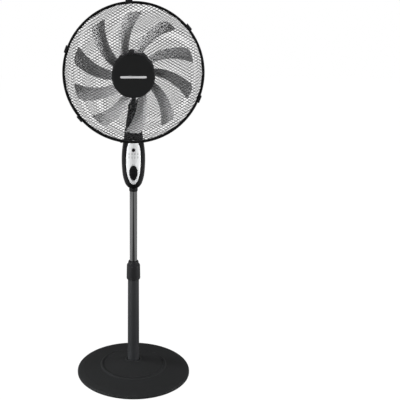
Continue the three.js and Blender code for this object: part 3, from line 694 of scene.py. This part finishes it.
def fascia_data():
    """The fascia between its own oval and the pad's oval, both edges rolled, with a back face."""
    count = 160
    pad_a, pad_c, pad_z = 13.35, 25.35, HZ + 57
    turns = [2 * math.pi * k / count for k in range(count)]
    outer = [egg(t, -0.1) for t in turns]
    inner = [(pad_a * math.cos(t), pad_z + pad_c * math.sin(t)) for t in turns]
    edge = [(0.0, 1.8), (0.0, 0.7), (0.006, 0.35), (0.016, 0.12), (0.03, 0.0)]
    middle = [(0.03 + 0.94 * k / 26, 0.0) for k in range(1, 26)]
    tail = [(1 - a, b * 0.8) for a, b in reversed(edge)]
    return loft([[on_skin(x0 + (x1 - x0) * t, z0 + (z1 - z0) * t, 0.55 - drop)
                  for (x0, z0), (x1, z1) in zip(outer, inner)] for t, drop in edge + middle + tail],
                  around=True)


verts, faces = fascia_data()
piece("fascia_plate", verts, faces, "mast", "fascia_silver", ["control_fascia"], smooth=60)
print("fascia faces:", len(faces))

# %% [markdown]
# The window and the eight lamps sit in the fascia as small domed caps, the window in a thin dark ring.
# Above the lamps, and round the pad, short printed dashes stand for the symbols of such a panel.

# %% Window, lamps and printed dashes
circle = [(math.cos(2 * math.pi * k / 48), math.sin(2 * math.pi * k / 48)) for k in range(48)]


def disc_cap(x, z, r, out, depth, crown=0.0, roll=0.3):
    return cap([(x + r * u, z + r * v) for u, v in circle], (x, z), out, depth, roll, 5, crown)


IR_Z = HZ + 132
verts, faces = disc_cap(0, IR_Z, 4.9, 0.75, 1.6, 0.5)
piece("infrared_window", verts, faces, "mast", "dark_lens", ["ir_window"], smooth=60)
verts, faces = bead([on_skin(5.3 * u, IR_Z + 5.3 * v, 0.6) for u, v in circle], 0.35 * MM, 8)
piece("window_bezel", verts, faces, "mast", "black_plastic", smooth=180)
LED_X = (-14, -4.7, 4.7, 14)
for row, (node, z) in enumerate((("led_strip_upper", HZ + 118), ("led_strip_lower", HZ + 107))):
    lamps = join_data(*[disc_cap(x, z, 1.45, 0.72, 1.4, 0.25, 0.25) for x in LED_X])
    piece(f"lamp_row_{row + 1}", *lamps, "mast", "light_guide", [node], smooth=60)
    marks = [cap([(x + 1.9 * math.copysign(abs(u) ** 0.4, u), z + 3.4 + 0.9 * v) for u, v in circle],
                 (x, z + 3.4), 0.6, 0.12, 0.05, 2) for x in LED_X]
    piece(f"lamp_marks_{row + 1}", *join_data(*marks), "mast", "fascia_silver", smooth=60,
          material=PRINT_AND_HIGHLIGHT_GREY)


def dash(x, z, w, h):
    corner = [(x + w * max(-1, min(1, 1.6 * u)), z + h * max(-1, min(1, 1.6 * v))) for u, v in circle]
    return cap(corner, (x, z), 0.6, 0.12, 0.05, 2)


PAD = HZ + 57
dashes = [dash(0, PAD + 28.4, 3.4, 0.5), dash(0, PAD - 27.2, 3.2, 0.45), dash(-17.2, PAD + 1, 1.3, 0.5),
          dash(17.2, PAD + 1, 1.3, 0.5)]
piece("pad_marks", *join_data(*dashes), "mast", "fascia_silver", smooth=60, material=PRINT_AND_HIGHLIGHT_GREY)
print("lamps:", 2 * len(LED_X), "pad dashes:", len(dashes))

# %% [markdown]
# The pad is an oval split into four keys: one above an arc, one at the foot, one on each side. Each key's
# outline is found from its middle, by halving steps towards the edge all round. Its top is slightly crowned
# to catch the light.


# %% Keys
def in_key(name, x, z):
    """True where (x, z) lies on that key: inside the oval, on its side of the cuts."""
    if (x / 13) ** 2 + ((z - PAD) / 25) ** 2 > 1:
        return False
    arc = math.hypot(x, z - (PAD - 24))
    if name == "power":
        return arc > 33.25
    if arc > 32.75:
        return False
    if name == "speed":
        return z < PAD - 9.75
    return z > PAD - 9.25 and (x < -0.25 if name == "timer" else x > 0.25)


KEYS = {"power": (0, PAD + 16), "timer": (-6.2, PAD + 0.5), "swing": (6.2, PAD + 0.5), "speed": (0, PAD - 16)}
for name, (cx, cz) in KEYS.items():
    outline = []
    for k in range(96):
        t = 2 * math.pi * k / 96
        near, far = 0.0, 30.0
        for _ in range(24):
            middle = (near + far) / 2
            if in_key(name, cx + middle * math.cos(t), cz + middle * math.sin(t)):
                near = middle
            else:
                far = middle
        outline.append((cx + near * math.cos(t), cz + near * math.sin(t)))
    verts, faces = cap(outline, (cx, cz), 0.9, 2.6, 0.55, 8, 0.25)
    piece(f"key_{name}_cap", verts, faces, f"key_{name}", "key_black", [f"button_{name}"], smooth=60)
print("keys:", list(KEYS))

# %% [markdown]
# ## Neck
# The neck is a turned foot that carries a fork for the tilt pin: two ears with round tops. They are made as
# plates with soft edges and joined to the turned foot.

# %% Neck
TILT_Z = (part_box("tilt_pin")[0][2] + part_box("tilt_pin")[1][2]) / 2 / MM
NZ = HZ + HH + 0.4
foot_outline = [(0, NZ), (23.4, NZ), (24.7, NZ + 1.4), (24.7, NZ + 12, 6), (17, TILT_Z - 17, 6),
                (16.6, TILT_Z - 14.6, 1), (15, TILT_Z - 13.8, 0.8), (0, TILT_Z - 13.8)]
foot = spin_data(outline_mm(foot_outline, 1.2, 5, False), 72)


def ear(x0, x1):
    """A plate with a round top about the tilt pin, edges rounded, between two x places."""
    outline = [(14 * math.cos(a), TILT_Z + 14 * math.sin(a)) for a in (math.pi * k / 32 for k in range(33))]
    outline += [(y, TILT_Z + z) for y, z in ((-14, -12), (-13.2, -25), (13.2, -25), (14, -12))]
    inset = 1.2
    layers = [(x0, 0.92), (x0 + inset * 0.3, 0.975), (x0 + inset, 1.0), (x1 - inset, 1.0),
              (x1 - inset * 0.3, 0.975), (x1, 0.92)]
    return plate(outline, layers, (0, TILT_Z))


piece("neck_fork", *join_data(foot, ear(-17, -8.5), ear(8.5, 17)), "swivel", "housing_black", ["swivel_neck"])


def on_neck(t):
    """A point of the oval ridge on the front of the neck's cone."""
    x, z = 1.5 + 6.5 * math.cos(t), TILT_Z - 38 + 17 * math.sin(t)
    share = (z - NZ - 12) / (TILT_Z - 17 - NZ - 12)
    r = 24.7 + (17 - 24.7) * share
    return Vector((x, -math.sqrt(r * r - x * x) - 0.1, z)) * MM


# The ridge on the black neck is given the light grey finish: a painted highlight, standing in for the light
# that gleams on the neck's front.
ridge = bead([on_neck(2 * math.pi * k / 72) for k in range(72)], 0.75 * MM)
piece("neck_ridge_painted_highlight", *ridge, "swivel", "housing_black", smooth=180, material=PRINT_AND_HIGHLIGHT_GREY)
pin_end = [(0, 0), (6.4, 0, 0.5), (6.4, 1.6, 0.8), (5, 2.3, 0.4), (0, 2.3)]
for side, sign in (("left", -1), ("right", 1)):
    verts, faces = spin_data(outline_mm(pin_end, 0.4, closed=False), 48)
    turned_end = [Vector((sign * (17.3 * MM + v.z), v.x, TILT_Z * MM + v.y)) for v in verts]
    piece(f"tilt_pin_{side}", turned_end, faces, "swivel", "plain_steel")
print("tilt pin height mm:", round(TILT_Z, 1))

# %% [markdown]
# ## Motor housing
# Behind the guard sits the motor in two moulded covers: a front cover that carries the tilt lug, and a deep
# rear bell. It needs air, so it has a ring of slots near its rear edge. They are cut for real, with a
# boolean of rounded bars. The lug has no bore: the tilt pin runs through solid material inside it, where
# nobody sees it.

# %% Motor covers
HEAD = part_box("motor_shaft")
AXIS_Z = (HEAD[0][2] + HEAD[1][2]) / 2 / MM
AXIS = (0, 0, AXIS_Z * MM)
MR = size_of("motor_rear_shell")[1].x
M_BACK = size_of("motor_rear_shell")[1].y
bell = [(0, M_BACK), (MR - 32, M_BACK, 6), (MR - 17, M_BACK - 2.4, 10), (MR - 5.5, M_BACK - 10.5, 9),
        (MR - 1.2, 80, 8),
        (MR, 66, 6), (MR, 7.4, 0.5), (MR - 0.7, 6.8, 0.3), (MR - 0.7, 5.6, 0.3), (MR, 5, 0.5), (MR, 0.4, 0.5),
        (MR - 2.4, 0.4), (MR - 2.4, 66), (MR - 3.8, 79), (MR - 8, M_BACK - 12), (MR - 18, M_BACK - 5),
        (MR - 33, M_BACK - 2.5), (0, M_BACK - 2.5)]
motor_bell = turned("motor_bell", bell, 0.6, "head", "motor_black", ["motor_rear_shell"], 128, "Y", AXIS)


def rounded_bar(centre, along, across, through, length, width, depth):
    """A bar with round ends: length along one direction, width across, depth through."""
    outline = []
    for k in range(24):
        a = 2 * math.pi * k / 24
        shift = (length - width) / 2 * (1 if math.cos(a) >= 0 else -1)
        outline.append(along * (width / 2 * math.cos(a) + shift) + across * (width / 2 * math.sin(a)))
    return loft([[centre + p + through * depth * s for p in outline] for s in (0.5, -0.5)], ends=True)


def cut(target, data, name):
    """Cuts a set of closed shapes out of a piece, and bakes the result into its mesh."""
    mesh = bpy.data.meshes.new(name)
    mesh.from_pydata([tuple(v) for v in data[0]], [], data[1])
    tool = bpy.data.objects.new(name, mesh)
    bpy.context.scene.collection.objects.link(tool)
    work = bmesh.new()
    work.from_mesh(mesh)
    bmesh.ops.recalc_face_normals(work, faces=work.faces)
    work.to_mesh(mesh)
    work.free()
    modifier = target.modifiers.new("cut", "BOOLEAN")
    modifier.operation, modifier.object, modifier.solver = "DIFFERENCE", tool, "EXACT"
    bpy.context.view_layer.update()
    result = bpy.data.meshes.new_from_object(target.evaluated_get(bpy.context.evaluated_depsgraph_get()))
    target.modifiers.clear()
    target.data = result
    result.shade_smooth()
    result.set_sharp_from_angle(angle=math.radians(40))
    bpy.data.objects.remove(tool)


def round_axis(k, count):
    """The outward and the sideways direction at step k of count round the head's axis."""
    a = 2 * math.pi * k / count
    return Vector((math.cos(a), 0, math.sin(a))), Vector((-math.sin(a), 0, math.cos(a)))


BACK = Vector((0, 1, 0))
slots = []
for k in range(30):
    out, across = round_axis(k, 30)
    centre = Vector(AXIS) + out * MR * MM + BACK * 0.052
    slots.append(rounded_bar(centre, BACK, across, out, 0.034, 0.0042, 0.012))
for ring, count in ((22, 14), (34, 20)):
    for k in range(count):
        out, across = round_axis(k, count)
        centre = Vector(AXIS) + out * ring * MM + BACK * M_BACK * MM
        slots.append(rounded_bar(centre, out, across, BACK, 0.009, 0.0036, 0.02))
cut(motor_bell, join_data(*slots), "bell_slots")
front_cover = [(5, -38), (8.9, -41.4), (19.2, -41.6, 0.8), (20, -40.6), (20, -28.4, 0.6), (MR - 6, -27.6, 2),
               (MR - 0.6, -23, 4), (MR, -18, 3), (MR, -0.2, 0.5), (MR - 2.7, -0.2, 0.1), (MR - 2.7, 3, 0.2),
               (MR - 3.5, 3, 0.2), (MR - 3.5, -22), (12, -24.6), (5, -30)]
cover_data = spin_data(outline_mm(front_cover, 0.6), 96, "Y", AXIS)


def tilt_lug():
    """The lug that hangs from the front cover to the tilt pin: a rounded tongue, 16 mm wide."""
    turns = [math.pi + math.pi * k / 24 for k in range(25)]
    side = [(11.5 * math.cos(a), TILT_Z + 11.5 * math.sin(a)) for a in turns]
    side += [(11.5, TILT_Z + 36), (8, TILT_Z + 40), (-3, TILT_Z + 47), (-3, TILT_Z + 54),
             (-22.4, TILT_Z + 54),
             (-20.5, TILT_Z + 40), (-12.5, TILT_Z + 22)]
    middle = [sum(values) / len(side) for values in zip(*side)]
    return plate(side, [(-8, 0.94), (-7.5, 0.98), (-6.6, 1), (6.6, 1), (7.5, 0.98), (8, 0.94)], middle)


piece("motor_front", *cover_data, "head", "motor_black", ["motor_front_cover"])
piece("motor_lug", *tilt_lug(), "head", "motor_black", ["tilt_lug"])
print("motor radius mm:", round(MR, 1), "slots:", len(slots))

# %% [markdown]
# ## Fan
# Ten narrow blades sweep back from a cup-shaped hub. A blade is a grid: along it the middle line sweeps and
# the pitch eases off, across it there is a gentle camber and a thickness that thins to the edges. The tip
# corners are rounded by pulling the outer rows in, the trailing corner more than the leading one.

# %% Blades and hub
HUB, BLADE, BLADE_Y = 65.0, 184.0, -84.0


def blade_point(u, v, side):
    """u runs from root to tip, v from leading to trailing edge (-0.5 to 0.5), side is -1 in front."""
    r = (HUB - 1.5) + (BLADE - HUB + 1.5) * u
    out = max(0.0, (r - HUB) / (BLADE - HUB))
    sweep = 4.9 - 23.5 * out
    width = 15.8 + 5.7 * (1 - out) ** 2
    span = math.radians(width) * r
    low, high = -0.5, 0.5
    for corner, sign in ((5.0, -1), (13.0, 1)):
        over = (r - (BLADE - corner)) / corner
        pull = corner * (1 - math.sqrt(max(0.0, 1 - over * over))) / span if over > 0 else 0.0
        low, high = (low + pull, high) if sign < 0 else (low, high - pull)
    w = low + (high - low) * (v + 0.5)
    a = math.radians(sweep + width * w)
    pitch = math.radians(40 - 13 * u)
    camber = 3.2 * (1 - 4 * w * w)
    thick = 0.45 + 0.75 * math.sqrt(max(0.0, 1 - 4 * v * v))
    y = BLADE_Y - w * span * math.tan(pitch) + camber + side * thick
    return Vector((r * math.cos(a), y, r * math.sin(a)))


def blade(turn):
    rows, cols = 40, 16
    verts, faces, index = [], [], {}
    spin = Matrix.Rotation(-math.radians(turn), 3, "Y")
    for side in (-1, 1):
        for i in range(rows + 1):
            for j in range(cols + 1):
                index[side, i, j] = len(verts)
                u = math.sin(math.pi / 2 * i / rows)
                verts.append(Vector(AXIS) + spin @ blade_point(u, j / cols - 0.5, side) * MM)
    for i in range(rows):
        for j in range(cols):
            quad = [(i, j), (i + 1, j), (i + 1, j + 1), (i, j + 1)]
            faces.append(tuple(index[-1, *q] for q in quad))
            faces.append(tuple(index[1, *q] for q in reversed(quad)))
    rim = [(i, 0) for i in range(rows)] + [(rows, j) for j in range(cols)]
    rim += [(i, cols) for i in range(rows, 0, -1)] + [(0, j) for j in range(cols, 0, -1)]
    for k, p in enumerate(rim):
        q = rim[(k + 1) % len(rim)]
        faces.append((index[-1, *p], index[1, *p], index[1, *q], index[-1, *q]))
    return verts, faces


hub_outline = [(4.2, -116), (12, -118.4), (HUB - 9, -118, 4), (HUB - 2, -115.4, 5), (HUB, -106, 5),
               (HUB, -58, 0.8), (HUB - 2.4, -58, 0.8), (HUB - 2.4, -106, 4), (HUB - 10, -115, 3),
               (12.5, -115.2),
               (11, -64), (4.2, -64)]
hub = spin_data(outline_mm(hub_outline, 0.6), 128, "Y", AXIS)
piece("fan_hub", *hub, "spin", "black_plastic", ["fan_blade"])
piece("fan_blades", *join_data(*[blade(36 * k) for k in range(10)]), "spin", "blade_grey", smooth=50)
nut = [(0, -130), (9, -130, 2), (13, -128, 2), (17, -122, 2), (17, -118.6), (4.4, -118.6), (4.4, -127),
       (0, -127)]
turned("fan_nut", nut, 0.8, "spin", "black_plastic", ["blade_nut"], 12, "Y", AXIS, smooth=30)
print("blade tip radius mm:", BLADE)

# %% [markdown]
# ## Guard
# The guard is two domed baskets of fine wire, held by one trim ring. The wires form a diamond mesh: two
# sets of straight parallel wires that cross at sixty degrees. Seen from the front each wire is a straight
# line; in depth it follows the dome. So each wire is one chord of the circle, bent onto the dome, with a
# thin round section.

# %% Domes
RING = size_of("guard_ring")[1].x
RING_Y = -85.0
RIM = RING - 6.5


def front_dome(r):
    return RING_Y - 58 * (1 - (r / RIM) ** 4)


def rear_dome(r):
    return RING_Y + 5 + 52 * (1 - (r / RIM) ** 4)


def wire_mesh(dome, inner, pitch, wire, angles, offset=0.0):
    """All wires of one basket as one set of closed tubes."""
    parts = []
    outer = RIM - 0.6
    for angle in angles:
        along = Vector((math.cos(angle), math.sin(angle)))
        across = Vector((-along.y, along.x))
        count = int(outer / pitch) + 1
        for k in range(-count, count + 1):
            d = (k + 0.5) * pitch + offset
            if abs(d) > outer - 1:
                continue
            half = math.sqrt(outer**2 - d * d)
            gap = math.sqrt(inner**2 - d * d) if abs(d) < inner else None
            spans = [(-half, -gap), (gap, half)] if gap else [(-half, half)]
            for s0, s1 in spans:
                steps = max(3, int((s1 - s0) / 9))
                path = []
                for i in range(steps + 1):
                    s = s0 + (s1 - s0) * i / steps
                    flat = along * s + across * d
                    path.append(Vector((flat.x, dome(flat.length), flat.y)) * MM + Vector(AXIS))
                parts.append(bead(path, wire * MM / 2, 5, closed=False))
    return join_data(*parts)


MESH_ANGLES = (math.radians(30), math.radians(-30))
PITCH_MM = 7.7


def hoop(dome, r, thick):
    return bead([Vector((r * math.cos(t), dome(r), r * math.sin(t))) * MM + Vector(AXIS)
                 for t in (2 * math.pi * k / 192 for k in range(192))], thick * MM, 10)


print("side of a mesh diamond mm:", round(PITCH_MM / math.sin(math.radians(60)), 1))


# %% Baskets
BADGE_HOLE = 60.0
front_parts = [wire_mesh(lambda r: front_dome(r) + 0.2, BADGE_HOLE, PITCH_MM, 1.3, MESH_ANGLES),
               hoop(front_dome, 61, 1.6)]
piece("front_basket", *join_data(*front_parts), "head", "guard_wire", ["front_grille"], smooth=180)
rear_parts = [wire_mesh(lambda r: rear_dome(r) - 0.2, 36.0, PITCH_MM, 1.3,
                        [a + math.radians(2.5) for a in MESH_ANGLES], 1.3), hoop(rear_dome, 36.5, 1.8)]
rear_basket = piece("rear_basket", *join_data(*rear_parts), "head", "guard_wire", ["rear_grille"], smooth=180)
disc = [(20.6, -29.6), (37, -29.4, 0.6), (37, -28.6, 0.6), (20.6, -28)]
turned("rear_plate", disc, 0.3, "head", "guard_wire", (), 96, "Y", AXIS)
nut_outline = [(20.4, -30.2), (29, -30.2, 0.8), (30, -33), (28.6, -37.4, 1), (20.4, -37.6)]
turned("basket_nut", nut_outline, 0.5, "head", "black_plastic", ["grille_nut"], 24, "Y", AXIS, smooth=20)
print("faces of the rear basket's wires:", len(rear_basket.data.polygons))

# %% [markdown]
# The trim ring is a hollow moulding that grips both baskets. Five spring clips sit over it. A clip is a
# bent strip with a hook in front and a barrel behind; it is built straight on and then turned to its place
# round the ring. Open, a clip stands 3.5 mm clear of the ring, because the thin web that would hold the two
# together on the real part is left out.

# %% Trim ring and clips
ring_outline = [(RIM + 0.2, RING_Y - 7.6), (RIM + 1.2, RING_Y - 8, 1), (RING - 2.8, RING_Y - 8, 2.6),
                (RING, RING_Y - 4.4, 3.2), (RING, RING_Y + 4.4, 3.2), (RING - 2.8, RING_Y + 8, 2.6),
                (RIM + 1.2, RING_Y + 8, 1), (RIM + 0.2, RING_Y + 7.6), (RIM + 0.2, RING_Y + 5.8),
                (RING - 2.6, RING_Y + 5.6), (RING - 2.6, RING_Y - 5.6), (RIM + 0.2, RING_Y - 5.8)]
turned("trim_ring", ring_outline, 0.5, "head", "ring_black", ["guard_ring"], 256, "Y", AXIS)


def clip_data(angle):
    """One clip at an angle round the ring, from a side outline of (outward, y) swept over its width."""
    g = RING
    outline = [(RIM + 1.8, -95.9), (g + 1.6, -95.9), (g + 2.8, -94.6), (g + 3, -91), (g + 2.6, -84),
               (g + 3.2, -79),
               (g + 4.4, -77.4), (g + 4.5, -75), (g + 3.9, -73.4), (g + 2.6, -72.9), (g + 1.3, -73.4),
               (g + 0.5, -74.6),
               (g + 0.5, -93.2), (RIM + 2.4, -93.6), (RIM + 1.8, -94.2)]
    outline = rounded(outline, 0.35, 2)
    widths = [(-10.5, 0.86), (-10.2, 0.96), (-9.4, 1.0), (9.4, 1.0), (10.2, 0.96), (10.5, 0.86)]
    mid = Vector((sum(p[0] for p in outline), sum(p[1] for p in outline))) / len(outline)
    turn = Matrix.Rotation(-angle, 3, "Y")
    rings = []
    for w, scale in widths:
        points = [Vector((mid.x + (a - mid.x) * (0.5 + 0.5 * scale),
                          mid.y + (b - mid.y) * (0.9 + 0.1 * scale), w))
                  for a, b in outline]
        rings.append([turn @ p * MM + Vector(AXIS) for p in points])
    return loft(rings, ends=True)


CLIP_ANGLES = (93.5, 40, -21, 220, 160)
for k, degrees in enumerate(CLIP_ANGLES, 1):
    piece(f"clip_{k}_strip", *clip_data(math.radians(degrees)), f"clip_{k}", "clip_black",
          [f"guard_clip_{k}"])
print("clips at degrees:", CLIP_ANGLES)

# %% [markdown]
# ## Badge
# A satin disc closes the middle of the front basket. It is slightly domed with a rolled rim, and carries
# one plain polished bar as its only mark.

# %% Badge
badge_high = size_of("badge_disc")[1]
BR, BY = badge_high.x, badge_high.y
badge = [(0, BY - 3.6), (BR * 0.5, BY - 3.5, 8), (BR - 4, BY - 3.1, 2), (BR - 0.6, BY - 2.0, 1.4),
         (BR, BY - 0.8, 0.8),
         (BR - 0.4, BY, 0.4), (0, BY)]
turned("badge_plate", badge, 1.0, "head", "badge_black", ["badge_disc"], 160, "Y", AXIS)
bar = rounded_bar(Vector(AXIS) + Vector((0, (BY - 3.62) * MM, -0.002)), Vector((1, 0, 0)), Vector((0, 0, 1)),
                  Vector((0, 1, 0)), 0.078, 0.0066, 0.0008)
bar_piece = piece("badge_bar", *bar, "head", "badge_black", material=BADGE_SILVER)
soften = bar_piece.modifiers.new("soft_edge", "BEVEL")
soften.width, soften.segments = 0.0002, 2
print("badge radius mm:", round(BR, 1))
